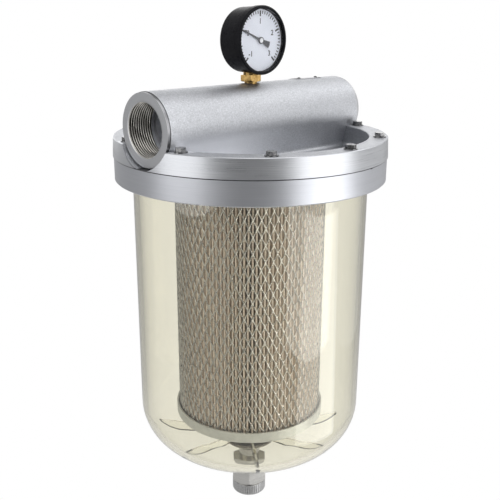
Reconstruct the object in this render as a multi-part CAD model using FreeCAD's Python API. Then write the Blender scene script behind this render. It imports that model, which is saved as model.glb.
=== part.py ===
import FreeCAD, Part
import math
import os

# In-line fuel filter separator: a cast head with two female pipe ports in line, a clear bowl
# held by a bolted ring, a pleated element inside it, a compound pressure gauge on the manifold
# and a drain cock under the bowl.
# Millimetres. X runs along the pipe, -Y is the side the gauge faces, Z is up. The origin is where
# the pipe axis crosses the axis of the bowl.

os.makedirs("parts", exist_ok=True)

# Clearances
fit_gap = 0.3            # between curved faces that only pass one another
running_gap = 0.05       # radial play of a turning or sliding fit
thread_play = 0.15       # round a bolt's shank in its tapped hole

# Bowl
bowl_r = 109.2
bowl_wall = 5.0
lip_width = 3.2          # how far the lip stands out over the side
lip_thick = 7.0
knuckle_r = 46.0         # outer corner radius
knuckle_rise = 14.4      # the straight side ends this far above the element's foot
floor_slope = 6.0        # degrees
floor_flat_r = 29.0
rib_count = 8
rib_phase = 51.1         # degrees from the -X port towards -Y
rib_thick = 2.6
rib_tip_in = 8.9         # from the bowl's inner side to the rib's tip
rib_tip_h = 17.6         # heights above the flat of the floor
rib_end_h = 7.4
rib_end_out = 2.5        # from the edge of that flat

# Clamp ring
recess_gap = 0.4         # round the bowl's lip
ring_width = 12.5        # from the recess to the outer side
ring_thick = 21.8
ring_edge = 1.0
seam_break = 0.4         # on the two edges where ring and flange meet
seal_thick = 2.0
seal_inset = 0.4

# Head casting
flange_step = 0.8        # the flange stands out this far over the ring
flange_draft = 3.0       # degrees, its side leans in towards the top
flange_top_z = -14.1
flange_thick = 17.7
rim_width = 18.1
port_setback = 6.5       # from the flange's edge to the port faces
manifold_r = 31.2
collar_step = 0.5        # turned band at each port face
collar_len = 2.8
notch_gap = 1.4          # relief milled round each port through the rim
notch_depth = 9.0
pocket_depth = 20.5
pocket_floor_thick = 7.0
pocket_fillet = 3.0
skirt_draft = 16.0       # degrees, the sides under the manifold lean in
skirt_fillet = 4.0
edge_break = 0.6
thread_major_r = 23.9    # G 1 1/2 female
thread_depth = 24.5
port_chamfer = 0.6
relief_step = 0.4
relief_len = 3.0
passage_step = 3.4       # the water way is narrower than the port
inlet_drop_r = 7.2       # half the width of the slot that leads down outside the element
inlet_drop_y = 10.0      # its round ends lie this far to each side
inlet_land = 5.5         # the inlet way ends this far past the slot
outlet_drop_r = 20.0
spider_arm = 6.0
spider_hub_r = 10.0
spider_thick = 9.0
register_depth = 4.0     # lip of the head that enters the bowl
register_gap = 0.5
register_wall = 5.0
land_drop = 6.2          # the seal's seat stands below the flange
gauge_thread_depth = 7.5
gauge_hole_r = 3.0

# Bolts
bolt_count = 10
bolt_offset = 4.7        # from the lip's recess to the bolts
bolt_phase = 18.0        # the ports lie midway between two bolts
bolt_r = 2.5
bolt_hex = 8.0
bolt_head_h = 3.1
bolt_crown_h = 1.0
bolt_len = 33.0
washer_r = 5.75
washer_thick = 0.9
spot_h = 5.0             # clear height over each washer's seat

# Element
core_r = 43.0
core_wall = 1.2
core_slot = 5.0
core_slot_h = 34.0
core_slot_count = 10
core_row_count = 5
pleat_gap = 1.0          # between core and paper
pleat_depth = 25.9
pleat_count = 120
pleat_paper = 0.4
jacket_gap = 0.4         # between paper and jacket
jacket_wall = 1.0
strand = 1.1             # width of a strand of the expanded metal
diamond_columns = 60
diamond_rows = 16
cap_gap = 1.1            # between jacket and the caps' rims
cap_wall = 1.6
cap_lip = 10.5
element_len = 248.4
end_seal_t = 4.4
end_seal_r = 52.0
end_seal_bore = 34.0
cap_bore_step = 4.0      # the top cap's hole is narrower than its seal's
tie_r = 5.0
tie_engage = 8.0         # how deep the rod is screwed into the spider
tie_seal_t = 2.0
tie_washer_r = 17.0
tie_washer_t = 2.0
tie_nut_hex = 16.0
tie_nut_h = 9.0
tie_end = 3.2            # the rod ends this far below its nut

# Drain cock
drain_thread_r = 9.0
bowl_hole_gap = 0.4
drain_nut_hex = 31.0
drain_nut_h = 7.0
drain_flange_r = 22.6
drain_flange_h = 4.6
drain_gasket_out = 5.4   # the gasket stands out this far round the flange
drain_gasket_t = 2.4
drain_neck_r = 10.8
drain_cove_h = 10.6      # hollow side between flange and neck
drain_neck_h = 15.9
drain_hex = 34.0
drain_hex_h = 18.0
drain_hex_bevel = 2.6
drain_spigot_r = 11.0
drain_spigot_len = 7.5
seat_r = 3.5
seat_drop = 4.5          # below the neck's upper end
plunger_r = 5.5
plunger_step = 1.3       # the neck is thinner by this
plunger_neck_len = 13.0
plunger_outlet_r = 2.1
plunger_cross_r = 1.5
knob_r = 17.3
knob_gap = 0.4
knob_h = 12.6
knob_round = 2.6
knob_groove_count = 44
knob_groove = 0.5

# Gauge
dial_r = 26.3
dial_thick = 0.7
dial_ledge = 0.9         # what the dial rests on all round
window_step = 1.1        # the window is wider than the dial
window_thick = 1.3
rim_step = 0.6           # the case's rim stands out round the window
case_step = 0.9          # behind the bezel the case is thicker
case_taper = 0.7
case_wall = 1.6
case_round = 2.5
bezel_front_y = -16.0
bezel_wall = 1.2
bezel_lap = 0.8          # how far the bezel reaches over the window
bezel_len = 7.0
bezel_lip = 1.6
gauge_depth = 27.3
dial_depth = 5.0         # from the bezel's front to the dial
pointer_lift = 1.5       # from the dial to the pointer's front
pointer_thick = 0.4
pointer_short = 2.9      # the tip ends this far inside the dial's edge
pointer_head_len = 3.8
pointer_tail_r = 10.9
pointer_fan = 15.5       # degrees each side of the tail
pointer_rest = 157.5     # degrees from the right of the dial, at the mark 0
hub_r = 2.9
arbor_r = 0.9
pinion_r = 1.5
sector_ratio = 7.5
sector_angle = 225.0     # where the sector's pivot lies from the arbor
sector_before = 29.0     # degrees of arc on each side of the pinion at rest
sector_after = 11.0
sector_back_r = 2.4
sector_pin_r = 1.0
sector_thick = 1.2
plate_thick = 1.2
plate_width = 24.0
plate_height = 30.0
plate_left = 14.0        # from the arbor to the plate's left side and foot
plate_low = 20.0
tube_clear = 5.4         # from the case's inner side to the tube's middle
tube_r = 2.2
tube_sweep = 265.0
stem_neck_r = 5.9
stem_neck_h = 2.0
stem_hex = 18.0
stem_hex_h = 5.9
stem_rise = 9.6          # from the manifold's top to the shoulder in the case
stem_shoulder_r = 7.0
case_seat_depth = 1.3    # how far the shoulder is let into the case
stem_barrel_r = 5.0
stem_block = 9.0
stem_block_h = 12.0
stem_block_gap = 1.4     # under the tube


def point(r, z):
    return FreeCAD.Vector(r, 0, z)


def outline(start, steps):
    """Closed wire in the XZ plane. A step is a point, or (middle, end) of an arc."""
    edges = []
    last = point(*start)
    for step in steps + [start]:
        if isinstance(step[0], tuple):
            middle = point(*step[0])
            end = point(*step[1])
            edges.append(Part.Arc(last, middle, end).toShape())
        else:
            end = point(*step)
            if end.distanceToPoint(last) < 1e-7:
                continue
            edges.append(Part.LineSegment(last, end).toShape())
        last = end
    return Part.Wire(edges)


def turned(start, steps, angle=360):
    """Solid of revolution about Z from a half section of (radius, height)."""
    face = Part.Face(outline(start, steps))
    return face.revolve(FreeCAD.Vector(0, 0, 0), FreeCAD.Vector(0, 0, 1), angle)


def arc_middle(cx, cz, r, a0, a1):
    a = math.radians((a0 + a1) / 2)
    return (cx + r * math.cos(a), cz + r * math.sin(a))


def hexagon(across, z0, height, turn=0):
    """Upright hexagonal prism, flats turned by the given angle from the X axis."""
    r = across / math.sqrt(3)
    corners = []
    for i in range(7):
        a = math.radians(60 * i + 30 + turn)
        corners.append(FreeCAD.Vector(r * math.cos(a), r * math.sin(a), z0))
    return Part.Face(Part.makePolygon(corners)).extrude(FreeCAD.Vector(0, 0, height))


def rod(r, z0, height, x=0, y=0):
    return Part.makeCylinder(r, height, FreeCAD.Vector(x, y, z0))


def rod_x(r, x0, x1):
    return Part.makeCylinder(r, x1 - x0, FreeCAD.Vector(x0, 0, 0), FreeCAD.Vector(1, 0, 0))


def around(shape, count, phase=0):
    """Copies of a shape round the Z axis."""
    copies = []
    for i in range(count):
        copy = shape.copy()
        copy.rotate(FreeCAD.Vector(0, 0, 0), FreeCAD.Vector(0, 0, 1), phase + 360.0 * i / count)
        copies.append(copy)
    return copies


def facing_front(shape):
    """Turns a piece modelled about Z so that its top faces -Y at the gauge's centre."""
    shape.rotate(FreeCAD.Vector(0, 0, 0), FreeCAD.Vector(1, 0, 0), 90)
    shape.translate(FreeCAD.Vector(0, 0, gauge_z))
    return shape


def save(shape, name):
    shape.exportStep("parts/" + name + ".step")


# Radii and levels shared by several pieces
bowl_inner_r = bowl_r - bowl_wall
lip_r = bowl_r + lip_width
ring_recess_r = lip_r + recess_gap
ring_r = ring_recess_r + ring_width
flange_r = ring_r + flange_step
bolt_circle_r = ring_recess_r + bolt_offset
flange_hole_r = bolt_r + fit_gap
ring_hole_r = bolt_r + thread_play
flange_bottom_z = flange_top_z - flange_thick
pocket_z = flange_top_z - pocket_depth
cap_floor_z = pocket_z - pocket_floor_thick
ring_bottom_z = flange_bottom_z - ring_thick
land_z = flange_bottom_z - land_drop
lip_top_z = land_z - seal_thick
lip_bottom_z = lip_top_z - lip_thick
element_top_z = cap_floor_z - end_seal_t
element_bottom_z = element_top_z - element_len
knuckle_z = element_bottom_z + knuckle_rise
knuckle_cx = bowl_r - knuckle_r
slope = math.radians(floor_slope)

# Head casting
# A disc with a seat for the seal and a register lip that enters the bowl, in one half section.
spigot_r = bowl_inner_r - register_gap
rim_inner_r = flange_r - rim_width
register_z = cap_floor_z - register_depth
flange_top_r = flange_r - (flange_thick - seam_break) * math.tan(math.radians(flange_draft))
disc = turned((0, cap_floor_z), [
    (spigot_r - register_wall - 2, cap_floor_z),
    (spigot_r - register_wall, cap_floor_z - 2),
    (spigot_r - register_wall, register_z),
    (spigot_r - 1.2, register_z),
    (spigot_r, register_z + 1.2),
    (spigot_r, land_z),
    (ring_recess_r - fit_gap, land_z),
    (ring_recess_r - fit_gap, flange_bottom_z),
    (flange_r - seam_break, flange_bottom_z),
    (flange_r, flange_bottom_z + seam_break),
    (flange_top_r, flange_top_z - edge_break),
    (flange_top_r - edge_break, flange_top_z),
    (0, flange_top_z),
])

# Two pockets sunk beside the manifold. Each is what a plug with a rounded foot, inside the rim,
# shares with a bar whose inner side leaves the manifold at a slant and rounds into the floor.
draft = math.radians(skirt_draft)
leave = math.radians(skirt_draft + 3)
leave_y = manifold_r * math.cos(leave)
leave_z = -manifold_r * math.sin(leave)
foot_y = leave_y - (leave_z - pocket_z) * math.tan(draft)
fillet_cy = foot_y + skirt_fillet * (1 + math.sin(draft)) / math.cos(draft)
fillet_cz = pocket_z + skirt_fillet
side_y = fillet_cy - skirt_fillet * math.cos(draft)
side_z = fillet_cz + skirt_fillet * math.sin(draft)
middle_angle = math.radians((180 - skirt_draft + 270) / 2)
fillet_my = fillet_cy + skirt_fillet * math.cos(middle_angle)
fillet_mz = fillet_cz + skirt_fillet * math.sin(middle_angle)
plug = turned((0, pocket_z), [
    (rim_inner_r - pocket_fillet, pocket_z),
    (arc_middle(rim_inner_r - pocket_fillet, pocket_z + pocket_fillet, pocket_fillet, -90, 0),
     (rim_inner_r, pocket_z + pocket_fillet)),
    (rim_inner_r, flange_top_z - edge_break),
    (rim_inner_r + edge_break, flange_top_z),
    (rim_inner_r + edge_break, 0),
    (0, 0),
])


def pocket_bar(side):
    def at(y, z):
        return FreeCAD.Vector(-flange_r, side * y, z)

    wire = Part.Wire([
        Part.LineSegment(at(leave_y, leave_z), at(side_y, side_z)).toShape(),
        Part.Arc(at(side_y, side_z), at(fillet_my, fillet_mz), at(fillet_cy, pocket_z)).toShape(),
        Part.LineSegment(at(fillet_cy, pocket_z), at(flange_r, pocket_z)).toShape(),
        Part.LineSegment(at(flange_r, pocket_z), at(flange_r, leave_z)).toShape(),
        Part.LineSegment(at(flange_r, leave_z), at(leave_y, leave_z)).toShape(),
    ])
    return Part.Face(wire).extrude(FreeCAD.Vector(2 * flange_r, 0, 0))


bridge = Part.makeBox(2 * rim_inner_r, 2 * leave_y, leave_z - flange_top_z + 2,
                      FreeCAD.Vector(-rim_inner_r, -leave_y, flange_top_z - 2))
cap = disc.fuse(bridge.common(plug))
cap = cap.cut(pocket_bar(1).common(plug)).cut(pocket_bar(-1).common(plug))

port_face_x = flange_r - port_setback
manifold = rod_x(manifold_r, -port_face_x + collar_len, port_face_x - collar_len)
collars = rod_x(manifold_r - collar_step, -port_face_x, port_face_x)
# The reliefs keep the rim clear of a cylinder round each port.
notch_r = manifold_r + notch_gap
reliefs = []
for side in (-1, 1):
    outer = side * (flange_r + 5)
    inner = side * (port_face_x - notch_depth)
    reliefs.append(rod_x(notch_r, min(outer, inner), max(outer, inner)))
head = cap.cut(Part.makeCompound(reliefs)).fuse([manifold, collars])

# Water ways: two ports bored to the major radius of their thread, whose ridges are left out, the
# inlet dropping outside the element and the outlet rising from the middle of it, where a
# three-armed spider carries the tie rod.
passage_r = thread_major_r - passage_step
relief_r = thread_major_r + relief_step
inlet_drop_x = -(port_face_x - thread_depth - relief_len - inlet_drop_r - 0.2)
inlet_end_x = inlet_drop_x + inlet_drop_r + inlet_land
outlet_end_x = -outlet_drop_r - 1
gauge_thread_r = stem_neck_r + running_gap
bores = []
for side in (-1, 1):
    face_x = side * port_face_x
    stop_x = side * (port_face_x - thread_depth)
    relief_x = side * (port_face_x - thread_depth - relief_len)
    bores.append(rod_x(thread_major_r, min(face_x, stop_x), max(face_x, stop_x)))
    bores.append(rod_x(relief_r, min(stop_x, relief_x), max(stop_x, relief_x)))
    mouth = Part.makeCone(thread_major_r + port_chamfer, thread_major_r, port_chamfer,
                          FreeCAD.Vector(face_x, 0, 0), FreeCAD.Vector(-side, 0, 0))
    bores.append(mouth)
bores.append(rod_x(passage_r, -port_face_x + thread_depth, inlet_end_x))
bores.append(rod_x(passage_r, outlet_end_x, port_face_x - thread_depth))
for side in (-1, 1):
    bores.append(rod(inlet_drop_r, cap_floor_z - 1, -cap_floor_z + 1, inlet_drop_x,
                     side * inlet_drop_y))
bores.append(Part.makeBox(2 * inlet_drop_r, 2 * inlet_drop_y, -cap_floor_z + 1,
                          FreeCAD.Vector(inlet_drop_x - inlet_drop_r, -inlet_drop_y,
                                         cap_floor_z - 1)))
bores.append(rod(gauge_hole_r, 0, manifold_r))
bores.append(rod(gauge_thread_r, manifold_r - gauge_thread_depth, gauge_thread_depth + 2))
outlet = rod(outlet_drop_r, cap_floor_z - 1, -cap_floor_z + 1)
spider_z = cap_floor_z + 1.0
arm = Part.makeBox(outlet_drop_r + 1, spider_arm, spider_thick,
                   FreeCAD.Vector(0, -spider_arm / 2, spider_z))
spider = rod(spider_hub_r, spider_z, spider_thick).fuse(around(arm, 3, 90))
bores.append(outlet.cut(spider))
tie_top_z = cap_floor_z + 1 + tie_engage
bores.append(rod(tie_r, cap_floor_z - 1, tie_top_z - cap_floor_z + 1))
flange_hole = rod(flange_hole_r, flange_bottom_z - 1, flange_thick + 2, bolt_circle_r)
bores += around(flange_hole, bolt_count, bolt_phase)
# Spot faces keep the washers' seats clear of the manifold's side.
spot_face = rod(washer_r + fit_gap, flange_top_z, spot_h, bolt_circle_r)
bores += around(spot_face, bolt_count, bolt_phase)
head = head.cut(Part.makeCompound(bores)).removeSplitter()
save(head, "head_casting")

# Bolts and washers
bolt_seat_z = flange_top_z + washer_thick
hex_head = hexagon(bolt_hex, bolt_seat_z, bolt_head_h, 10)
crown = Part.makeCone(bolt_hex * 0.75, bolt_hex * 0.47, 1.7,
                      FreeCAD.Vector(0, 0, bolt_seat_z + bolt_head_h - bolt_crown_h))
lower_head = hexagon(bolt_hex, bolt_seat_z, bolt_head_h - bolt_crown_h, 10)
hex_head = hex_head.common(crown).fuse(lower_head)
bolt = hex_head.fuse(rod(bolt_r, bolt_seat_z - bolt_len, bolt_len)).removeSplitter()
bolt.translate(FreeCAD.Vector(bolt_circle_r, 0, 0))
save(Part.makeCompound(around(bolt, bolt_count, bolt_phase)), "flange_bolts")

washer = rod(washer_r, flange_top_z, washer_thick).cut(rod(flange_hole_r, flange_top_z, washer_thick))
washer.translate(FreeCAD.Vector(bolt_circle_r, 0, 0))
save(Part.makeCompound(around(washer, bolt_count, bolt_phase)), "flange_washers")

# Clamp ring
ring = turned((bowl_r + fit_gap, ring_bottom_z + edge_break), [
    (bowl_r + fit_gap + edge_break, ring_bottom_z),
    (ring_r - ring_edge, ring_bottom_z),
    (ring_r, ring_bottom_z + ring_edge),
    (ring_r, flange_bottom_z - seam_break),
    (ring_r - seam_break, flange_bottom_z),
    (ring_recess_r, flange_bottom_z),
    (ring_recess_r, lip_bottom_z),
    (bowl_r + fit_gap, lip_bottom_z),
])
ring_hole = rod(ring_hole_r, ring_bottom_z - 1, ring_thick + 2, bolt_circle_r)
pry_slot = Part.makeBox(3, 3.2, 0.9, FreeCAD.Vector(ring_r - 1.5, -1.6, flange_bottom_z - 0.9))
pry_slot.rotate(FreeCAD.Vector(0, 0, 0), FreeCAD.Vector(0, 0, 1), 280.1)
ring = ring.cut(Part.makeCompound(around(ring_hole, bolt_count, bolt_phase) + [pry_slot]))
save(ring, "clamp_ring")

# Bowl seal: a flat ring between the lip and the head
bowl_seal = turned((bowl_inner_r + seal_inset, lip_top_z), [
    (lip_r - seal_inset, lip_top_z), (lip_r - seal_inset, land_z),
    (bowl_inner_r + seal_inset, land_z)])
save(bowl_seal, "bowl_seal")


# Bowl
def knuckle_point(r, angle):
    a = math.radians(angle)
    return (knuckle_cx + r * math.cos(a), knuckle_z + r * math.sin(a))


outer_turn = knuckle_point(knuckle_r, -90 + floor_slope)
inner_turn = knuckle_point(knuckle_r - bowl_wall, -90 + floor_slope)
floor_outer_z = outer_turn[1] - (outer_turn[0] - floor_flat_r) * math.tan(slope)
floor_inner_z = inner_turn[1] - (inner_turn[0] - floor_flat_r) * math.tan(slope)
half_turn = (-90 + floor_slope) / 2
bowl_hole_r = drain_thread_r + bowl_hole_gap
shell = turned((bowl_hole_r, floor_inner_z), [
    (floor_flat_r, floor_inner_z),
    inner_turn,
    (knuckle_point(knuckle_r - bowl_wall, half_turn), (bowl_inner_r, knuckle_z)),
    (bowl_inner_r, lip_top_z),
    (lip_r, lip_top_z),
    (lip_r, lip_bottom_z),
    (bowl_r, lip_bottom_z),
    (bowl_r, knuckle_z),
    (knuckle_point(knuckle_r, half_turn), outer_turn),
    (floor_flat_r, floor_outer_z),
    (bowl_hole_r, floor_outer_z),
])
# Radial ribs on the floor: the top edge falls slightly inwards, the foot follows the floor.
rib_tip_r = bowl_inner_r - rib_tip_in
rib_tip_z = floor_inner_z + rib_tip_h
rib_end_r = floor_flat_r + rib_end_out
rib_end_z = floor_inner_z + rib_end_h
rib_wire = outline((rib_end_r, floor_inner_z - 1.5), [
    (rib_end_r, rib_end_z),
    (rib_tip_r, rib_tip_z),
    (rib_tip_r + 2.4, rib_tip_z - 2.0),
    knuckle_point(knuckle_r - 2.0, -50),
    knuckle_point(knuckle_r - 2.0, -68),
    (inner_turn[0], inner_turn[1] - 1.5),
    (floor_flat_r + 4, floor_inner_z - 1.8),
])
rib = Part.Face(rib_wire).extrude(FreeCAD.Vector(0, rib_thick, 0))
rib.translate(FreeCAD.Vector(0, -rib_thick / 2, 0))
bowl = shell.fuse(around(rib, rib_count, 180 + rib_phase)).removeSplitter()
save(bowl, "bowl")

# Element
pleat_inner_r = core_r + pleat_gap
pleat_outer_r = pleat_inner_r + pleat_depth
jacket_r = pleat_outer_r + jacket_gap + jacket_wall
cap_r = jacket_r + cap_gap + cap_wall
cap_bore = end_seal_bore - cap_bore_step
cap_top_in_z = element_top_z - cap_wall
cap_bottom_in_z = element_bottom_z + cap_wall
top_cap = turned((cap_bore, element_top_z), [
    (cap_r - 1, element_top_z), (cap_r, element_top_z - 1), (cap_r, element_top_z - cap_lip),
    (cap_r - cap_wall, element_top_z - cap_lip), (cap_r - cap_wall, cap_top_in_z),
    (cap_bore, cap_top_in_z)])
save(top_cap, "element_top_cap")
bottom_cap = turned((tie_r + fit_gap, element_bottom_z), [
    (cap_r - 1, element_bottom_z), (cap_r, element_bottom_z + 1),
    (cap_r, element_bottom_z + cap_lip), (cap_r - cap_wall, element_bottom_z + cap_lip),
    (cap_r - cap_wall, cap_bottom_in_z), (tie_r + fit_gap, cap_bottom_in_z)])
save(bottom_cap, "element_bottom_cap")

# The jacket is expanded metal: a net of upright diamonds, each row half a diamond out of step with
# the next. One column is cut from a strip of the tube, and its faces, without the two sides where
# the strips meet, are repeated round the axis and sewn into one solid.
inner_len = cap_top_in_z - cap_bottom_in_z
column_angle = 360.0 / diamond_columns
diamond_wide = 2 * math.pi * jacket_r / diamond_columns
diamond_tall = inner_len / diamond_rows
diagonal = math.hypot(diamond_wide, diamond_tall)
opening_w = diamond_wide / 2 - strand / 2 * diagonal / diamond_tall
opening_h = diamond_tall / 2 - strand / 2 * diagonal / diamond_wide
inside_x = jacket_r - jacket_wall - 1
diamond = Part.Face(Part.makePolygon([
    FreeCAD.Vector(inside_x, opening_w, cap_bottom_in_z),
    FreeCAD.Vector(inside_x, 0, cap_bottom_in_z + opening_h),
    FreeCAD.Vector(inside_x, -opening_w, cap_bottom_in_z),
    FreeCAD.Vector(inside_x, 0, cap_bottom_in_z - opening_h),
    FreeCAD.Vector(inside_x, opening_w, cap_bottom_in_z),
])).extrude(FreeCAD.Vector(jacket_wall + 3, 0, 0))


def diamond_row(column, first, count):
    """A column of diamonds, so many columns round the axis and so many rows up."""
    cutters = []
    for i in range(count):
        cutter = diamond.copy()
        cutter.translate(FreeCAD.Vector(0, 0, diamond_tall * (i + first)))
        cutter.rotate(FreeCAD.Vector(0, 0, 0), FreeCAD.Vector(0, 0, 1), column * column_angle)
        cutters.append(cutter)
    return cutters


def on_side(face, angle):
    """Whether a flat face lies in the upright plane through the axis at this angle."""
    if face.Surface.TypeId != "Part::GeomPlane":
        return False
    a = math.radians(angle)
    normal = FreeCAD.Vector(-math.sin(a), math.cos(a), 0)
    return abs(face.CenterOfMass.dot(normal)) < 1e-6 and abs(face.Surface.Axis.dot(normal)) > 0.999999


strip = turned((jacket_r - jacket_wall, cap_bottom_in_z), [
    (jacket_r, cap_bottom_in_z),
    (jacket_r, cap_top_in_z),
    (jacket_r - jacket_wall, cap_top_in_z),
], column_angle)
strip = strip.cut(Part.makeCompound(
    diamond_row(0, 0.5, diamond_rows)
    + diamond_row(0.5, 1, diamond_rows - 1)
    + diamond_row(1, 0.5, diamond_rows)))
strip_faces = [f for f in strip.Faces if not on_side(f, 0) and not on_side(f, column_angle)]
net = []
for strip_face in strip_faces:
    net += around(strip_face, diamond_columns)
net = Part.makeCompound(net)
net.sewShape()
jacket = Part.makeSolid(net.Shells[0])
save(jacket, "element_jacket")

# The pleats: one folded sheet of paper, closed on itself. The mitre is how far the inner line of
# a fold lies behind the outer one.
half_pitch = math.pi * (pleat_outer_r + pleat_inner_r) / 2 / pleat_count
mitre = pleat_paper * math.hypot(half_pitch, pleat_depth) / half_pitch


def zigzag(tip_r, root_r):
    corners = []
    for i in range(2 * pleat_count + 1):
        a = math.pi * i / pleat_count
        r = root_r if i % 2 else tip_r
        corners.append(FreeCAD.Vector(r * math.cos(a), r * math.sin(a), cap_bottom_in_z))
    return Part.makePolygon(corners)


folded = Part.Face([zigzag(pleat_outer_r, pleat_inner_r + mitre),
                    zigzag(pleat_outer_r - mitre, pleat_inner_r)])
pleats = folded.extrude(FreeCAD.Vector(0, 0, inner_len))
save(pleats, "element_pleats")

core = rod(core_r, cap_bottom_in_z, inner_len)
core = core.cut(rod(core_r - core_wall, cap_bottom_in_z, inner_len))
row_pitch = inner_len / core_row_count
slots = []
for row in range(core_row_count):
    z = cap_bottom_in_z + row_pitch * (row + 0.5) - core_slot_h / 2
    slot = Part.makeBox(4, core_slot, core_slot_h, FreeCAD.Vector(core_r - 2.5, -core_slot / 2, z))
    slots += around(slot, core_slot_count, 180 / core_slot_count * (row % 2))
core = core.cut(Part.makeCompound(slots))
save(core, "element_core")

end_seal = turned((end_seal_bore, element_top_z), [
    (end_seal_r, element_top_z), (end_seal_r, cap_floor_z), (end_seal_bore, cap_floor_z)])
save(end_seal, "element_end_seal")

# Tie rod, its seal, washer and nut
tie_seal = turned((tie_r + fit_gap, element_bottom_z - tie_seal_t), [
    (tie_washer_r - 1, element_bottom_z - tie_seal_t), (tie_washer_r - 1, element_bottom_z),
    (tie_r + fit_gap, element_bottom_z)])
save(tie_seal, "tie_seal")
tie_washer_top = element_bottom_z - tie_seal_t
tie_washer_z = tie_washer_top - tie_washer_t
tie_washer = turned((tie_r + fit_gap, tie_washer_z), [
    (tie_washer_r, tie_washer_z), (tie_washer_r, tie_washer_top),
    (tie_r + fit_gap, tie_washer_top)])
save(tie_washer, "tie_washer")
tie_nut_z = tie_washer_z - tie_nut_h
tie_nut = hexagon(tie_nut_hex, tie_nut_z, tie_nut_h).cut(rod(tie_r, tie_nut_z, tie_nut_h))
save(tie_nut, "tie_nut")
tie_foot_z = tie_nut_z - tie_end
tie_rod = turned((0, tie_foot_z), [
    (tie_r - 1, tie_foot_z), (tie_r, tie_foot_z + 1), (tie_r, tie_top_z), (0, tie_top_z)])
save(tie_rod, "tie_rod")

# Drain cock
drain_nut = hexagon(drain_nut_hex, floor_inner_z, drain_nut_h, 12)
drain_nut = drain_nut.cut(rod(drain_thread_r, floor_inner_z, drain_nut_h))
save(drain_nut, "drain_nut")
gasket_z = floor_outer_z - drain_gasket_t
drain_gasket_r = drain_flange_r + drain_gasket_out
drain_gasket = turned((drain_thread_r + fit_gap, gasket_z), [
    (drain_gasket_r, gasket_z), (drain_gasket_r, floor_outer_z),
    (drain_thread_r + fit_gap, floor_outer_z)])
save(drain_gasket, "drain_gasket")

drain_top_z = floor_inner_z + drain_nut_h
flange_foot_z = gasket_z - drain_flange_h
drain_neck_z = flange_foot_z - drain_cove_h
drain_hex_top = drain_neck_z - drain_neck_h
drain_hex_bottom = drain_hex_top - drain_hex_h
spigot_end_z = drain_hex_bottom - drain_spigot_len
cove_w = drain_flange_r - drain_neck_r
cove_mid = (drain_neck_r + cove_w * (1 - math.cos(math.radians(45))),
            drain_neck_z + drain_cove_h * (1 - math.sin(math.radians(45))) * 2.0)
drain_body = turned((0, drain_top_z), [
    (drain_thread_r - 1, drain_top_z),
    (drain_thread_r, drain_top_z - 1),
    (drain_thread_r, gasket_z),
    (drain_flange_r - 0.6, gasket_z),
    (drain_flange_r, gasket_z - 0.6),
    (drain_flange_r, flange_foot_z),
    (cove_mid, (drain_neck_r, drain_neck_z)),
    (drain_neck_r, drain_hex_top - 1),
    (drain_spigot_r, drain_hex_top - 1),
    (drain_spigot_r, spigot_end_z + 0.8),
    (drain_spigot_r - 0.8, spigot_end_z),
    (0, spigot_end_z),
])
inscribed = drain_hex / 2
corner_r = drain_hex / math.sqrt(3)
bevel = turned((0, drain_hex_bottom), [
    (inscribed - 0.1, drain_hex_bottom),
    (corner_r + 0.1, drain_hex_bottom + drain_hex_bevel),
    (corner_r + 0.1, drain_hex_top - drain_hex_bevel * 0.6),
    (inscribed + 0.5, drain_hex_top),
    (0, drain_hex_top),
])
drain_body = drain_body.fuse(hexagon(drain_hex, drain_hex_bottom, drain_hex_h, 17).common(bevel))
bore_r = plunger_r + running_gap
seat_z = drain_neck_z - seat_drop
drain_bore = turned((0, drain_top_z + 1), [
    (seat_r, drain_top_z + 1),
    (seat_r, seat_z),
    (bore_r, seat_z - (bore_r - seat_r)),
    (bore_r, spigot_end_z - 1),
    (0, spigot_end_z - 1),
])
drain_body = drain_body.cut(drain_bore).removeSplitter()
save(drain_body, "drain_body")

# The knob turns on the spigot. The plunger's cone closes the seat, and when it is let down the
# water passes round its neck, through the cross hole and out of its open foot.
knob_top_z = drain_hex_bottom - knob_gap
knob_bottom_z = knob_top_z - knob_h
knob_cup_z = spigot_end_z - fit_gap
knob = turned((plunger_r + fit_gap, knob_bottom_z), [
    (knob_r - knob_round, knob_bottom_z),
    (arc_middle(knob_r - knob_round, knob_bottom_z + knob_round, knob_round, -90, 0),
     (knob_r, knob_bottom_z + knob_round)),
    (knob_r, knob_top_z - 0.5),
    (knob_r - 0.5, knob_top_z),
    (drain_spigot_r + running_gap, knob_top_z),
    (drain_spigot_r + running_gap, knob_cup_z),
    (plunger_r + fit_gap, knob_cup_z),
])
groove = Part.makeBox(2 * knob_groove, 1.6 * knob_groove, knob_h - knob_round - 1.0,
                      FreeCAD.Vector(-knob_groove, -0.8 * knob_groove, 0))
groove.rotate(FreeCAD.Vector(0, 0, 0), FreeCAD.Vector(0, 0, 1), 45)
groove.translate(FreeCAD.Vector(knob_r + 0.2, 0, knob_bottom_z + knob_round))
knob = knob.cut(Part.makeCompound(around(groove, knob_groove_count)))
save(knob, "drain_knob")

tip_z = seat_z - 0.2
plunger_neck_r = plunger_r - plunger_step
plunger = turned((0, tip_z), [
    (seat_r - 0.4, tip_z),
    (seat_r + 0.7, tip_z - 1.1),
    (plunger_neck_r, tip_z - 1.9),
    (plunger_neck_r, tip_z - plunger_neck_len),
    (plunger_r, tip_z - plunger_neck_len - 1.3),
    (plunger_r, knob_bottom_z + 1),
    (plunger_outlet_r, knob_bottom_z + 1),
    (plunger_outlet_r, tip_z - plunger_neck_len + 2),
    (0, tip_z - plunger_neck_len + 2),
])
cross_hole = Part.makeCylinder(plunger_cross_r, 2 * plunger_r,
                               FreeCAD.Vector(-plunger_r, 0, tip_z - plunger_neck_len + 4),
                               FreeCAD.Vector(1, 0, 0))
cross_well = rod(plunger_outlet_r, tip_z - plunger_neck_len, 4)
plunger = plunger.cut(cross_hole.fuse(cross_well)).removeSplitter()
save(plunger, "drain_plunger")

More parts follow.
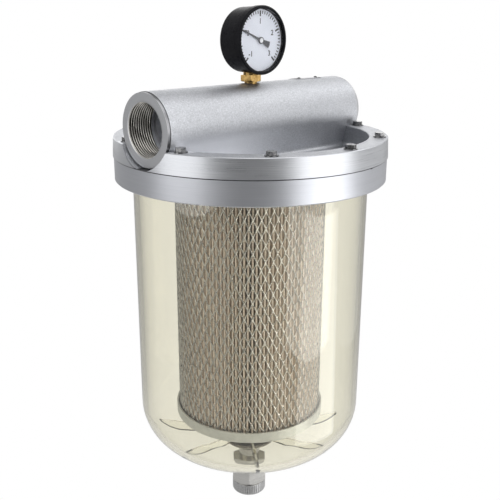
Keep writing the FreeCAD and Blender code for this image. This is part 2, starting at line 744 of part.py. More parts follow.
# Gauge: Bourdon tube and the stem that carries it
window_r = dial_r + window_step
case_rim_r = window_r + rim_step
case_r = case_rim_r + case_step
case_back_r = case_r - case_taper
case_inner_r = dial_r - dial_ledge
case_back_y = bezel_front_y + gauge_depth
dial_y = bezel_front_y + dial_depth
pointer_y = dial_y - pointer_lift
shoulder_z = manifold_r + stem_rise
gauge_z = shoulder_z - case_seat_depth + case_r
tube_ring_r = case_inner_r - tube_clear
tube = Part.makeTorus(tube_ring_r, tube_r, FreeCAD.Vector(0, 0, 0), FreeCAD.Vector(0, 0, 1),
                      0, 360, tube_sweep)
tube.rotate(FreeCAD.Vector(0, 0, 0), FreeCAD.Vector(0, 0, 1), -90)
tube = facing_front(tube)
save(tube, "bourdon_tube")

hex_bottom_z = math.sqrt(manifold_r ** 2 - stem_neck_r ** 2) + stem_neck_h
hex_top_z = hex_bottom_z + stem_hex_h
stem_foot_z = manifold_r - gauge_thread_depth
block_z = gauge_z - tube_ring_r - tube_r - stem_block_gap
stem_bevel = turned((0, hex_bottom_z), [
    (stem_hex * 0.5, hex_bottom_z),
    (stem_hex * 0.59, hex_bottom_z + 1.6),
    (stem_hex * 0.59, hex_top_z),
    (0, hex_top_z),
])
stem = hexagon(stem_hex, hex_bottom_z, stem_hex_h, 16).common(stem_bevel)
stem = stem.fuse([
    rod(stem_neck_r, stem_foot_z, hex_bottom_z - stem_foot_z + 1),
    rod(stem_shoulder_r, hex_top_z - 1, shoulder_z - hex_top_z + 1),
    rod(stem_barrel_r, hex_top_z, block_z - hex_top_z + 0.5),
    Part.makeBox(stem_block, stem_block, stem_block_h,
                 FreeCAD.Vector(-stem_block / 2, -stem_block / 2, block_z)),
])
# The tube is soldered into a socket in the block.
stem = stem.cut(tube).removeSplitter()
save(stem, "gauge_stem")

# Gauge: case, bezel, window, dial
# The turned pieces are drawn lying on their backs and then tipped to face -Y. The heights below
# are distances from the back of the case.
front = case_back_y - bezel_front_y
bezel_back = front - bezel_len
window_front = front - bezel_lip
window_back = window_front - window_thick
dial_back = case_back_y - dial_y - dial_thick
case = turned((0, 0), [
    (case_back_r - case_round, 0),
    (arc_middle(case_back_r - case_round, case_round, case_round, -90, 0),
     (case_back_r, case_round)),
    (case_r, bezel_back),
    (case_rim_r, bezel_back),
    (case_rim_r, window_back),
    (dial_r + fit_gap, window_back),
    (dial_r + fit_gap, dial_back),
    (case_inner_r, dial_back),
    (case_inner_r, case_wall + 2),
    (case_inner_r - 2, case_wall),
    (0, case_wall),
])
case = facing_front(case)
case.translate(FreeCAD.Vector(0, case_back_y, 0))
low_z = gauge_z - case_r - 2
stem_hole = rod(stem_barrel_r + fit_gap, low_z, 8)
shoulder_hole = rod(stem_shoulder_r + fit_gap, low_z, shoulder_z - low_z)
case = case.cut(Part.makeCompound([stem_hole, shoulder_hole]))
save(case, "gauge_case")

bezel_r = case_rim_r + fit_gap + bezel_wall
bezel_bore = window_r - bezel_lap
bezel = turned((case_rim_r + fit_gap, bezel_back), [
    (bezel_r - 0.8, bezel_back),
    (bezel_r, bezel_back + 0.8),
    (bezel_r, front - 1.6),
    (arc_middle(bezel_r - 1.6, front - 1.6, 1.6, 0, 90), (bezel_r - 1.6, front)),
    (bezel_bore + 0.3, front),
    (bezel_bore, front - 0.4),
    (bezel_bore, window_front),
    (case_rim_r + fit_gap, window_front),
])
bezel = facing_front(bezel)
bezel.translate(FreeCAD.Vector(0, case_back_y, 0))
save(bezel, "gauge_bezel")


def plate(r, y, thick, x=0, z=gauge_z):
    """Disc square to the gauge's axis whose front face is at y."""
    return Part.makeCylinder(r, thick, FreeCAD.Vector(x, y, z), FreeCAD.Vector(0, 1, 0))


save(plate(window_r, case_back_y - window_front, window_thick), "gauge_window")
dial = plate(dial_r, dial_y, dial_thick).cut(plate(arbor_r + fit_gap, dial_y, dial_thick))
save(dial, "gauge_dial")


# Gauge: pointer
def on_dial(r, angle, y):
    a = math.radians(angle)
    return FreeCAD.Vector(r * math.cos(a), y, gauge_z + r * math.sin(a))


def blade(corners):
    points = [on_dial(r, a, pointer_y) for r, a in corners]
    face = Part.Face(Part.makePolygon(points + points[:1]))
    return face.extrude(FreeCAD.Vector(0, pointer_thick, 0))


rest = pointer_rest
pointer_tip_r = dial_r - pointer_short
pointer_head_r = pointer_tip_r - pointer_head_len
back = pointer_rest + 180
needle = blade([(2.0, rest + 30), (pointer_head_r, rest + 1.4), (pointer_head_r, rest + 4.8),
                (pointer_tip_r, rest), (pointer_head_r, rest - 4.8), (pointer_head_r, rest - 1.4),
                (2.0, rest - 30)])
tail = blade([(1.5, back - 60), (pointer_tail_r, back - pointer_fan), (pointer_tail_r + 0.35, back),
              (pointer_tail_r, back + pointer_fan), (1.5, back + 60)])
boss = plate(hub_r, pointer_y - 0.35, 1.05)
pointer = needle.fuse([tail, boss]).cut(plate(arbor_r, pointer_y - 1, 3)).removeSplitter()
save(pointer, "gauge_pointer")

# Gauge movement: arbor with pinion, sector, plate
plate_y = -stem_block / 2 - plate_thick
sector_y = plate_y - sector_thick - 0.9
pinion_y = sector_y - 0.4
arbor_y = pointer_y - 0.2
arbor = plate(arbor_r, arbor_y, plate_y + plate_thick + 0.6 - arbor_y)
arbor = arbor.fuse(plate(pinion_r, pinion_y, sector_thick + 0.8)).removeSplitter()
save(arbor, "pointer_arbor")

sector_r = pinion_r * sector_ratio
pivot = on_dial(pinion_r + sector_r + fit_gap, sector_angle, sector_y)
facing = sector_angle - 180


def from_pivot(r, angle):
    a = math.radians(angle)
    return FreeCAD.Vector(pivot.x + r * math.cos(a), sector_y, pivot.z + r * math.sin(a))


sector_arc = Part.Arc(from_pivot(sector_r, facing - sector_before), from_pivot(sector_r, facing),
                      from_pivot(sector_r, facing + sector_after)).toShape()
sector_back = Part.Arc(from_pivot(sector_back_r, facing + 80), from_pivot(sector_back_r, facing + 180),
                       from_pivot(sector_back_r, facing - 80)).toShape()
sector_wire = Part.Wire([
    sector_arc,
    Part.LineSegment(from_pivot(sector_r, facing + sector_after),
                     from_pivot(sector_back_r, facing + 80)).toShape(),
    sector_back,
    Part.LineSegment(from_pivot(sector_back_r, facing - 80),
                     from_pivot(sector_r, facing - sector_before)).toShape(),
])
sector = Part.Face(sector_wire).extrude(FreeCAD.Vector(0, sector_thick, 0))
sector_pin = plate(sector_pin_r, sector_y - 0.6, plate_y + plate_thick + 1.2 - sector_y,
                   pivot.x, pivot.z)
save(sector.fuse(sector_pin).removeSplitter(), "sector_gear")

frame = Part.makeBox(plate_width, plate_thick, plate_height,
                     FreeCAD.Vector(-plate_left, plate_y, gauge_z - plate_low))
frame = frame.cut(Part.makeCompound([
    plate(arbor_r + running_gap, plate_y, plate_thick),
    plate(sector_pin_r + running_gap, plate_y, plate_thick, pivot.x, pivot.z),
    Part.makeBox(5, plate_thick, 12, FreeCAD.Vector(3, plate_y, gauge_z - 4)),
]))
save(frame, "movement_plate")
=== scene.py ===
import bpy
import numpy as np
import math
from mathutils import Matrix, Vector


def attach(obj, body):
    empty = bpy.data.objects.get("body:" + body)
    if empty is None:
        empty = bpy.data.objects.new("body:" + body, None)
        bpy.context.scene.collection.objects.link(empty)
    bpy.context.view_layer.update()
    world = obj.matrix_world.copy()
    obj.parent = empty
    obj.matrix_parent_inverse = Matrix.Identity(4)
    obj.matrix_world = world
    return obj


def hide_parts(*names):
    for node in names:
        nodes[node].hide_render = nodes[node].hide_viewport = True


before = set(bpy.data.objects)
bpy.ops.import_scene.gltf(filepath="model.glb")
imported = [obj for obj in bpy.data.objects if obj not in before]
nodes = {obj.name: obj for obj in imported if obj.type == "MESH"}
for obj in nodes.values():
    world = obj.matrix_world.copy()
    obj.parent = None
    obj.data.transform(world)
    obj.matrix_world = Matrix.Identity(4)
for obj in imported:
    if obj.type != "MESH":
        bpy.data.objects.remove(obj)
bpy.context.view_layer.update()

# The camera stands off the left front corner, a little above the manifold, and looks down on the
# bowl. Its place and lens were fitted to the circles of flange, bowl, port and gauge.
camera_place = Vector((-0.4792, -0.4962, 0.0915))
camera_heading = math.radians(-44.0)
camera_tilt = math.radians(90 - 17.62)
camera_roll = math.radians(0.26)
camera = bpy.data.objects.new("photo_camera", bpy.data.cameras.new("photo_camera"))
camera.data.sensor_width = 36.0
camera.data.lens = 53.78
camera.data.clip_start = 0.01
camera.matrix_world = (Matrix.Translation(camera_place)
                       @ Matrix.Rotation(camera_heading, 4, "Z")
                       @ Matrix.Rotation(camera_tilt, 4, "X")
                       @ Matrix.Rotation(camera_roll, 4, "Z"))
bpy.context.scene.collection.objects.link(camera)
bpy.context.scene.camera = camera

# The studio: the filter hangs in its pipe line, so the floor is far below it. World and floor are
# white to the camera and through the clear bowl, and a soft grey to everything else.
scene = bpy.context.scene
scene.view_settings.view_transform = "Standard"
floor_z = -1.1
floor_half = 6.0
daylight = 0.5
white = (1.0, 1.0, 1.0, 1.0)


def seen_directly(tree):
    """One for the camera's own ray, also through a clear body, and zero after it has bounced off
    anything: the larger of the two kinds of ray, less the bounces so far."""
    path = tree.nodes.new("ShaderNodeLightPath")
    either = tree.nodes.new("ShaderNodeMath")
    either.operation = "MAXIMUM"
    tree.links.new(path.outputs["Is Camera Ray"], either.inputs[0])
    tree.links.new(path.outputs["Is Transmission Ray"], either.inputs[1])
    value = either.outputs[0]
    for bounces in ("Diffuse Depth", "Glossy Depth"):
        less = tree.nodes.new("ShaderNodeMath")
        less.operation = "SUBTRACT"
        less.use_clamp = True
        tree.links.new(value, less.inputs[0])
        tree.links.new(path.outputs[bounces], less.inputs[1])
        value = less.outputs[0]
    return value


world = bpy.data.worlds.new("studio")
world.use_nodes = True
scene.world = world
tree = world.node_tree
backdrop = tree.nodes["Background"]
backdrop.inputs["Color"].default_value = white
level = tree.nodes.new("ShaderNodeMapRange")
level.inputs["To Min"].default_value = daylight
level.inputs["To Max"].default_value = 1.0
tree.links.new(seen_directly(tree), level.inputs["Value"])
tree.links.new(level.outputs["Result"], backdrop.inputs["Strength"])

floor_mesh = bpy.data.meshes.new("floor")
floor_mesh.from_pydata([(-floor_half, -floor_half, floor_z), (floor_half, -floor_half, floor_z),
                        (floor_half, floor_half, floor_z), (-floor_half, floor_half, floor_z)],
                       [], [(0, 1, 2, 3)])
floor = bpy.data.objects.new("floor", floor_mesh)
scene.collection.objects.link(floor)
floor_white = bpy.data.materials.new("floor_white")
floor_white.use_nodes = True
tree = floor_white.node_tree
matte = tree.nodes["Principled BSDF"]
matte.inputs["Base Color"].default_value = (0.9, 0.9, 0.9, 1.0)
matte.inputs["Roughness"].default_value = 0.9
glow = tree.nodes.new("ShaderNodeEmission")
mix = tree.nodes.new("ShaderNodeMixShader")
tree.links.new(seen_directly(tree), mix.inputs[0])
tree.links.new(matte.outputs[0], mix.inputs[1])
tree.links.new(glow.outputs[0], mix.inputs[2])
tree.links.new(mix.outputs[0], tree.nodes["Material Output"].inputs["Surface"])
floor_mesh.materials.append(floor_white)


def softbox(name, heading, distance, height, wide, tall, power, behind=False):
    """A rectangular lamp in the given direction and distance from the bowl's axis, at a height, that
    faces the filter. The camera doesn't see it, and with behind set not through the bowl either."""
    place = Vector((distance * math.cos(heading), distance * math.sin(heading), height))
    lamp = bpy.data.lights.new(name, "AREA")
    lamp.shape = "RECTANGLE"
    lamp.size = wide
    lamp.size_y = tall
    lamp.energy = power
    box = bpy.data.objects.new(name, lamp)
    box.location = place
    box.rotation_euler = (filter_middle - place).to_track_quat("-Z", "Y").to_euler()
    box.visible_camera = False
    box.visible_transmission = not behind
    scene.collection.objects.link(box)


filter_middle = Vector((0.0, 0.0, -0.05))
softbox("softbox_above", math.radians(-106), 0.36, 0.95, 1.0, 0.7, 3.0)
softbox("softbox_left", math.radians(172), 1.15, 0.2, 0.88, 1.2, 4.6)
softbox("softbox_right", math.radians(-75), 1.25, 0.05, 1.17, 1.7, 10.4)
softbox("softbox_low", math.radians(-64), 0.95, -0.6, 0.75, 0.6, 2.6)
softbox("softbox_side", math.radians(-20), 1.2, -0.3, 1.0, 0.8, 0.7, behind=True)
softbox("softbox_high", math.radians(-14), 0.9, 0.85, 1.0, 0.9, 3.9, behind=True)
softbox("softbox_behind", math.radians(62), 1.25, 0.3, 2.1, 1.0, 7.6, behind=True)

# The dark room behind the photographer, which machined metal and clear plastic show as a dark
# band: a grey cloth that only reflections see.
cloth_grey = bpy.data.materials.new("cloth_grey")
cloth_grey.use_nodes = True
cloth_shader = cloth_grey.node_tree.nodes["Principled BSDF"]
cloth_shader.inputs["Base Color"].default_value = (0.28, 0.28, 0.28, 1.0)
cloth_shader.inputs["Specular IOR Level"].default_value = 0.0


def dark_cloth(name, heading, distance, width, low, high):
    """An upright rectangle that stands in the given direction from the bowl's axis."""
    across = Vector((-math.sin(heading), math.cos(heading), 0)) * width / 2
    middle = Vector((math.cos(heading), math.sin(heading), 0)) * distance
    low_edge = Vector((0, 0, low))
    high_edge = Vector((0, 0, high))
    mesh = bpy.data.meshes.new(name)
    mesh.from_pydata([middle - across + low_edge, middle + across + low_edge,
                      middle + across + high_edge, middle - across + high_edge], [], [(0, 1, 2, 3)])
    mesh.materials.append(cloth_grey)
    cloth = bpy.data.objects.new(name, mesh)
    scene.collection.objects.link(cloth)
    cloth.visible_camera = False
    cloth.visible_diffuse = False
    cloth.visible_transmission = False
    cloth.visible_shadow = False


dark_cloth("dark_room", math.radians(-131), 1.3, 1.1, -1.0, 0.55)

# Head casting: an aluminium alloy cap and manifold cast in one in sand, blasted, then turned on
# the rim and both port faces, so the cast skin has a fine grain and the rim fine cutting lines.
rim_top = -0.0141
rim_radius = 0.1252
rim_draft_depth = 0.0008
port_face = 0.1196
port_radius = 0.0312
port_band_wide = 0.0029
paint_margin = 0.0002
seam_high = -0.0313
seam_shade = (0.1, 0.1, 0.105)
face_tone = (0.46, 0.465, 0.48)
# Where the manifold's lower side is coloured paler, as painted light:
painted_light_height = (-0.012, 0.002)
painted_light_along = (-0.05, 0.02)
painted_light_beside = (0.038, 0.046)
cast_depth = 0.00028
line_relief = 0.16
face_relief = 0.06


def new_finish(name, color, metallic, roughness):
    """A material with its shader's plain settings made; the piece's section adds the rest."""
    material = bpy.data.materials.new(name)
    material.use_nodes = True
    shader = material.node_tree.nodes["Principled BSDF"]
    shader.inputs["Base Color"].default_value = (*color, 1.0)
    shader.inputs["Metallic"].default_value = metallic
    shader.inputs["Roughness"].default_value = roughness
    return material, material.node_tree, shader


def place_of(tree, scale=(1, 1, 1)):
    """The point on the piece, in metres, stretched by scale."""
    where = tree.nodes.new("ShaderNodeTexCoord")
    if scale == (1, 1, 1):
        return where.outputs["Object"]
    stretch = tree.nodes.new("ShaderNodeMapping")
    stretch.inputs["Scale"].default_value = scale
    tree.links.new(where.outputs["Object"], stretch.inputs["Vector"])
    return stretch.outputs["Vector"]


def coordinates(tree):
    """The point on the piece, in metres, split into its three coordinates."""
    split = tree.nodes.new("ShaderNodeSeparateXYZ")
    tree.links.new(place_of(tree), split.inputs[0])
    return split


def grain(tree, where, scale, detail=2.0, rough=0.5):
    """Noise with about scale bumps per metre."""
    noise = tree.nodes.new("ShaderNodeTexNoise")
    noise.inputs["Scale"].default_value = scale
    noise.inputs["Detail"].default_value = detail
    noise.inputs["Roughness"].default_value = rough
    tree.links.new(where, noise.inputs["Vector"])
    return noise.outputs["Fac"]


def spread(tree, value, low, high, from_low=0.3, from_high=0.7):
    """A value between from_low and from_high spread over low to high."""
    ramp = tree.nodes.new("ShaderNodeMapRange")
    ramp.inputs["From Min"].default_value = from_low
    ramp.inputs["From Max"].default_value = from_high
    ramp.inputs["To Min"].default_value = low
    ramp.inputs["To Max"].default_value = high
    tree.links.new(value, ramp.inputs["Value"])
    return ramp.outputs["Result"]


def blend_of(tree, factor, first, second):
    """first where factor is zero, second where it is one; both are colours or outputs."""
    mixer = tree.nodes.new("ShaderNodeMix")
    mixer.data_type = "RGBA"
    tree.links.new(factor, mixer.inputs["Factor"])
    for value, socket in ((first, mixer.inputs[6]), (second, mixer.inputs[7])):
        if isinstance(value, tuple):
            socket.default_value = (*value, 1.0)
        else:
            tree.links.new(value, socket)
    return mixer.outputs[2]


def relief(tree, shader, height, depth):
    """Bumps the surface by height, a value from zero to one, times depth in metres."""
    bump = tree.nodes.new("ShaderNodeBump")
    bump.inputs["Distance"].default_value = depth
    bump.inputs["Strength"].default_value = 1.0
    tree.links.new(height, bump.inputs["Height"])
    tree.links.new(bump.outputs["Normal"], shader.inputs["Normal"])


def compare(tree, operation, first, second):
    """The math node of that name on two values, each a number or an output."""
    node = tree.nodes.new("ShaderNodeMath")
    node.operation = operation
    for value, socket in ((first, node.inputs[0]), (second, node.inputs[1])):
        if isinstance(value, (int, float)):
            socket.default_value = value
        else:
            tree.links.new(value, socket)
    return node.outputs[0]


def from_axis(tree, split, first="X", second="Y"):
    """Root of the sum of two squared coordinates: with X and Y the distance from the bowl's axis,
    with Y and Z that from the ports' axis."""
    squares = compare(tree, "ADD",
                      compare(tree, "MULTIPLY", split.outputs[first], split.outputs[first]),
                      compare(tree, "MULTIPLY", split.outputs[second], split.outputs[second]))
    return compare(tree, "SQRT", squares, 0.0)


def rim_side(tree, split):
    """One on the flange's turned side, zero elsewhere."""
    outside = compare(tree, "GREATER_THAN", from_axis(tree, split), rim_radius - rim_draft_depth)
    below = compare(tree, "LESS_THAN", split.outputs["Z"], rim_top - paint_margin)
    return compare(tree, "MULTIPLY", outside, below)


def port_band(tree, split):
    """One on both port faces and the turned band behind them, zero elsewhere."""
    along = compare(tree, "ABSOLUTE", split.outputs["X"], 0.0)
    near = compare(tree, "LESS_THAN", from_axis(tree, split, "Y", "Z"), port_radius + paint_margin)
    outer = compare(tree, "GREATER_THAN", along, port_face - port_band_wide)
    return compare(tree, "MULTIPLY", near, outer)


def level_between(tree, factor, first, second):
    """The number first where factor is zero, second where it is one."""
    mixer = tree.nodes.new("ShaderNodeMix")
    tree.links.new(factor, mixer.inputs["Factor"])
    for value, socket in ((first, mixer.inputs[2]), (second, mixer.inputs[3])):
        if isinstance(value, (int, float)):
            socket.default_value = value
        else:
            tree.links.new(value, socket)
    return mixer.outputs[0]


cast_metal, tree, shader = new_finish("cast_aluminium", (0.5, 0.5, 0.52), 1.0, 0.45)
split = coordinates(tree)
side = rim_side(tree, split)
face = port_band(tree, split)
skin = grain(tree, place_of(tree), 850.0, 4.0, 0.7)
lumps = grain(tree, place_of(tree), 160.0, 2.0)
lines = grain(tree, place_of(tree, (22.0, 22.0, 1900.0)), 1.0, 3.0, 0.7)
tone = blend_of(tree, spread(tree, skin, 0.0, 1.0), (0.38, 0.39, 0.41), (0.62, 0.63, 0.66))
turned_tone = blend_of(tree, spread(tree, lines, 0.0, 1.0),
                       (0.45, 0.46, 0.485), (0.565, 0.575, 0.595))
# Painted light: the lower side of the manifold, left of the middle, is coloured paler, standing in for
# light thrown up from the flange's top.
wear_and_painted_light = compare(tree, "MULTIPLY", spread(tree, split.outputs["Z"], 1.0, 0.0, *painted_light_height),
               spread(tree, split.outputs["X"], 1.0, 0.0, *painted_light_along))
beside = compare(tree, "ABSOLUTE", split.outputs["Y"], 0.0)
wear_and_painted_light = compare(tree, "MULTIPLY", wear_and_painted_light, spread(tree, beside, 1.0, 0.0, *painted_light_beside))
tone = blend_of(tree, wear_and_painted_light, tone, (0.78, 0.79, 0.82))
tone = blend_of(tree, side, tone, turned_tone)
behind_face = compare(tree, "LESS_THAN", compare(tree, "ABSOLUTE", split.outputs["X"], 0.0),
                      port_face - paint_margin)
turned_band = compare(tree, "MULTIPLY", behind_face,
                      compare(tree, "LESS_THAN", split.outputs["X"], 0.0))
# Painted shade: the turned band behind the inlet port's face is coloured darker than the face,
# standing in for the dim reflection it shows.
tone = blend_of(tree, face, tone, blend_of(tree, turned_band, face_tone, (0.28, 0.28, 0.29)))
# Painted shade: a dark band along the flange's foot, at the seam with the ring.
seam = compare(tree, "MULTIPLY", side, compare(tree, "LESS_THAN", split.outputs["Z"], seam_high))
tone = blend_of(tree, seam, tone, seam_shade)
tree.links.new(tone, shader.inputs["Base Color"])
rough = level_between(tree, side, spread(tree, lumps, 0.42, 0.52), spread(tree, lines, 0.26, 0.38))
rough = level_between(tree, face, rough, level_between(tree, turned_band, 0.45, 0.3))
tree.links.new(rough, shader.inputs["Roughness"])
height = level_between(tree, side, skin, compare(tree, "MULTIPLY", lines, line_relief))
height = level_between(tree, face, height, compare(tree, "MULTIPLY", skin, face_relief))
relief(tree, shader, height, cast_depth)


def dress(node, material):
    """Gives a CAD node its material."""
    mesh = nodes[node].data
    mesh.materials.clear()
    mesh.materials.append(material)


dress("head_casting", cast_metal)

# Port threads: G 1 1/2 cut in both ports, eleven turns to the inch, with rounded Whitworth crests.
# Their crests are painted bright as a painted highlight and their roots dark as painted shade, and
# they start behind a small chamfer at the port's face.
# The sleeve stands just inside the bored wall, which has the major radius of 23.9 mm.
thread_root = 0.0238
thread_back = 0.02387
thread_minor = 0.0224
thread_pitch = 0.002309
thread_end = 0.0238
mouth_outer = 0.02447
mouth_inner = 0.0230
mouth_depth = 0.00063
mouth_edge = 0.00003
first_phase = -0.25
flank_steep = 1.2
root_flat = 0.1
painted_crest_highlight = (thread_minor + 0.0001, thread_minor + 0.0009)
lip_margin = 0.0001
steps_round = 160
steps_per_turn = 8


def mesh_of(name, points, faces):
    """A mesh of an array of points and an array of the four corners of each face."""
    mesh = bpy.data.meshes.new(name)
    mesh.from_pydata(points.reshape(-1, 3), [], faces.reshape(-1, 4))
    return mesh


def skin_mesh(name, points, round_rows, round_columns, flip=False):
    """A mesh of the grid points[i, j]; rows or columns that are round are joined last to first."""
    rows, columns = points.shape[:2]
    i = np.arange(rows if round_rows else rows - 1)[:, None]
    j = np.arange(columns if round_columns else columns - 1)[None, :]
    i2 = (i + 1) % rows
    j2 = (j + 1) % columns
    corners = [i * columns + j, i * columns + j2, i2 * columns + j2, i2 * columns + j]
    if flip:
        corners.reverse()
    quads = np.stack([np.broadcast_to(c, (i.shape[0], j.shape[1])) for c in corners], axis=-1)
    return mesh_of(name, points, quads)


def put(name, mesh, material, body, sharp=None):
    """Makes the piece of a mesh, smooth up to the sharp angle, riding on its body."""
    mesh.materials.append(material)
    mesh.shade_smooth()
    if sharp is not None:
        mesh.set_sharp_from_angle(angle=math.radians(sharp))
    piece = bpy.data.objects.new(name, mesh)
    scene.collection.objects.link(piece)
    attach(piece, body)
    return piece


def thread_points(side):
    """A sleeve round the port's axis: a flat lip at the port's face, a chamfer to the minor radius,
    then the root's radius less the thread's depth times a wave of the distance along the axis plus
    the turn, so that the ridges climb as a screw."""
    chamfer = mouth_inner - thread_minor
    turns = (thread_end - chamfer) / thread_pitch
    along = np.linspace(chamfer, thread_end, int(turns * steps_per_turn))
    turn = np.linspace(0, 2 * np.pi, steps_round, endpoint=False)
    a, t = np.meshgrid(along, turn, indexing="ij")
    phase = (a - chamfer) / thread_pitch + first_phase + t / (2 * np.pi)
    wave = 1 - 2 * np.abs(phase - np.floor(phase + 0.5))
    crest = 0.5 - 0.5 * np.cos(np.pi * np.clip(flank_steep * wave - root_flat, 0, 1))
    radius = thread_root - (thread_root - thread_minor) * crest
    radius[0] = thread_minor
    lip = np.array([(mouth_depth, thread_back), (mouth_edge, mouth_outer),
                    (0.0, mouth_outer), (0.0, mouth_inner)])[:, :, None] * np.ones(steps_round)
    a = np.vstack([lip[:, 0], a, a[-1:]])
    radius = np.vstack([lip[:, 1], radius, np.full((1, steps_round), thread_back)])
    t = np.ones((len(a), 1)) * turn
    x = side * (port_face - a)
    return np.stack([x, radius * np.cos(t), radius * np.sin(t)], axis=-1)


thread_metal, tree, shader = new_finish("cut_thread", (0.4, 0.385, 0.36), 1.0, 0.28)
split = coordinates(tree)
along = compare(tree, "ABSOLUTE", split.outputs["X"], 0.0)
lip = compare(tree, "GREATER_THAN", along, port_face - lip_margin)
depth = from_axis(tree, split, "Y", "Z")
# Painted highlight on the crests and painted shade in the roots, by distance from the port's axis.
crest = spread(tree, depth, 1.0, 0.0, *painted_crest_highlight)
painted_crest_light_root_shade = blend_of(tree, crest, (0.06, 0.055, 0.05), (0.62, 0.6, 0.56))
marks = grain(tree, place_of(tree, (40.0, 1.0, 1.0)), 60.0, 3.0)
tree.links.new(blend_of(tree, lip, painted_crest_light_root_shade, face_tone), shader.inputs["Base Color"])
rough = level_between(tree, lip, spread(tree, marks, 0.2, 0.34), 0.4)
tree.links.new(rough, shader.inputs["Roughness"])
for side, name in ((-1, "inlet_thread"), (1, "outlet_thread")):
    mesh = skin_mesh(name, thread_points(side), True, True, flip=side < 0)
    put(name, mesh, thread_metal, "housing", sharp=50)

# Plate: a bare tin plate bent over the manifold's crown, held by four rivets coloured near black as
# painted shade. The camera sees its near edge and two rivets.
plate_r = 0.0315
plate_thick = 0.0005
plate_span = (0.0595, 0.0930)
plate_turn = (math.radians(84), math.radians(132))
plate_rows = 4
plate_columns = 16
rivet_span = (0.0632, 0.0868)
rivet_turn = (math.radians(88), math.radians(128))
rivet_r = 0.0017
rivet_tall = 0.0010
rivet_sunk = -0.0002
dome_hole = 0.03
dome_rows = 6
dome_columns = 20


def mottle(tree, shader, pattern, dark, pale):
    """Colours the surface from dark to pale after the pattern of a grain."""
    tree.links.new(blend_of(tree, spread(tree, pattern, 0.0, 1.0), dark, pale),
                   shader.inputs["Base Color"])


def thicken(piece, thickness):
    """Gives a sheet its thickness, half of it to each side."""
    sheet = piece.modifiers.new("sheet", "SOLIDIFY")
    sheet.thickness = thickness
    sheet.offset = 0.0


def bent_sheet_points():
    """A grid of points on a cylinder about the ports' axis: even steps along it and round it."""
    x, t = np.meshgrid(np.linspace(*plate_span, plate_rows), np.linspace(*plate_turn, plate_columns),
                       indexing="ij")
    return np.stack([x, -plate_r * np.cos(t), plate_r * np.sin(t)], axis=-1)


def rivet_points(x, angle):
    """A low dome turned about the line that leaves the ports' axis at that angle: its height is the
    root of the cosine of its share of the rivet's radius, and its back is flat."""
    share = np.linspace(dome_hole, 1, dome_rows)
    rise = np.concatenate([rivet_tall * np.cos(share * np.pi / 2) ** 0.5, [rivet_sunk, rivet_sunk]])
    radius = np.concatenate([share, [1, dome_hole]]) * rivet_r
    r, t = np.meshgrid(radius, np.linspace(0, 2 * np.pi, dome_columns, endpoint=False), indexing="ij")
    up = plate_r + plate_thick / 2 + rise[:, None] * np.ones_like(t)
    across = r * np.sin(t)
    return np.stack([x + r * np.cos(t),
                     -up * math.cos(angle) + across * math.sin(angle),
                     up * math.sin(angle) + across * math.cos(angle)], axis=-1)


plate_tin, tree, shader = new_finish("plate_tin", (0.5, 0.5, 0.5), 1.0, 0.35)
brushed = grain(tree, place_of(tree, (40.0, 2000.0, 2000.0)), 1.0, 3.0)
mottle(tree, shader, brushed, (0.42, 0.42, 0.43), (0.56, 0.56, 0.57))
plate = put("bare_plate", skin_mesh("bare_plate", bent_sheet_points(), False, False), plate_tin,
            "housing", sharp=40)
thicken(plate, plate_thick)
# Painted shade: the rivets are coloured near black, standing in for dark shade spots on the plate.
rivet_painted_shade, tree, shader = new_finish("rivet_painted_shade", (0.03, 0.03, 0.03), 0.6, 0.4)
rivet_shade_grain = grain(tree, place_of(tree), 900.0, 2.0)
mottle(tree, shader, rivet_shade_grain, (0.015, 0.015, 0.015), (0.06, 0.06, 0.06))
for x, side in ((rivet_span[0], "left"), (rivet_span[1], "right")):
    for angle, end in ((rivet_turn[0], "front"), (rivet_turn[1], "back")):
        name = "plate_rivet_" + side + "_" + end
        put(name, skin_mesh(name, rivet_points(x, angle), True, True), rivet_painted_shade,
            "housing", sharp=50)

# Flange bolts and washers: ten small zinc-plated hexagon bolts with thin washers, bright on their
# edges and a little stained.


def roughen(tree, shader, pattern, low, high):
    """Spreads the surface's roughness over low to high after the pattern of a grain."""
    tree.links.new(spread(tree, pattern, low, high), shader.inputs["Roughness"])


bolt_zinc, tree, shader = new_finish("bolt_zinc", (0.15, 0.15, 0.16), 1.0, 0.22)
stain = grain(tree, place_of(tree), 450.0, 3.0, 0.6)
mottle(tree, shader, stain, (0.04, 0.04, 0.045), (0.3, 0.3, 0.3))
roughen(tree, shader, stain, 0.14, 0.3)
relief(tree, shader, stain, 0.00008)
dress("flange_bolts", bolt_zinc)
dress("flange_washers", bolt_zinc)

# Clamp ring: a turned ring of the same alloy, finer than the casting, with faint cutting lines.
# A dark band of painted shade lies along the seam under the flange.
seam_low = -0.0323
ring_metal, tree, shader = new_finish("ring_aluminium", (0.5, 0.5, 0.52), 1.0, 0.36)
lines = grain(tree, place_of(tree, (14.0, 14.0, 3000.0)), 1.0, 3.0, 0.7)
fine = grain(tree, place_of(tree), 1500.0, 2.0)
split = coordinates(tree)
# Painted shade: a dark band along the ring's top edge, at the seam under the flange.
seam = compare(tree, "GREATER_THAN", split.outputs["Z"], seam_low)
tone = blend_of(tree, spread(tree, lines, 0.0, 1.0), (0.44, 0.45, 0.48), (0.51, 0.52, 0.55))
tree.links.new(blend_of(tree, seam, tone, seam_shade), shader.inputs["Base Color"])
roughen(tree, shader, lines, 0.33, 0.42)
relief(tree, shader, compare(tree, "ADD", compare(tree, "MULTIPLY", lines, 0.3), fine), 0.00004)
dress("clamp_ring", ring_metal)

# Bowl seal and the cartridge's and tie rod's seals: black nitrile rubber, moulded flat and matte,
# with a faint grey bloom.
nitrile, tree, shader = new_finish("nitrile", (0.02, 0.02, 0.02), 0.0, 0.55)
bloom = grain(tree, place_of(tree), 700.0, 3.0)
mottle(tree, shader, bloom, (0.012, 0.012, 0.012), (0.04, 0.04, 0.04))
roughen(tree, shader, bloom, 0.48, 0.65)
for node in ("bowl_seal", "element_end_seal", "tie_seal"):
    dress(node, nitrile)

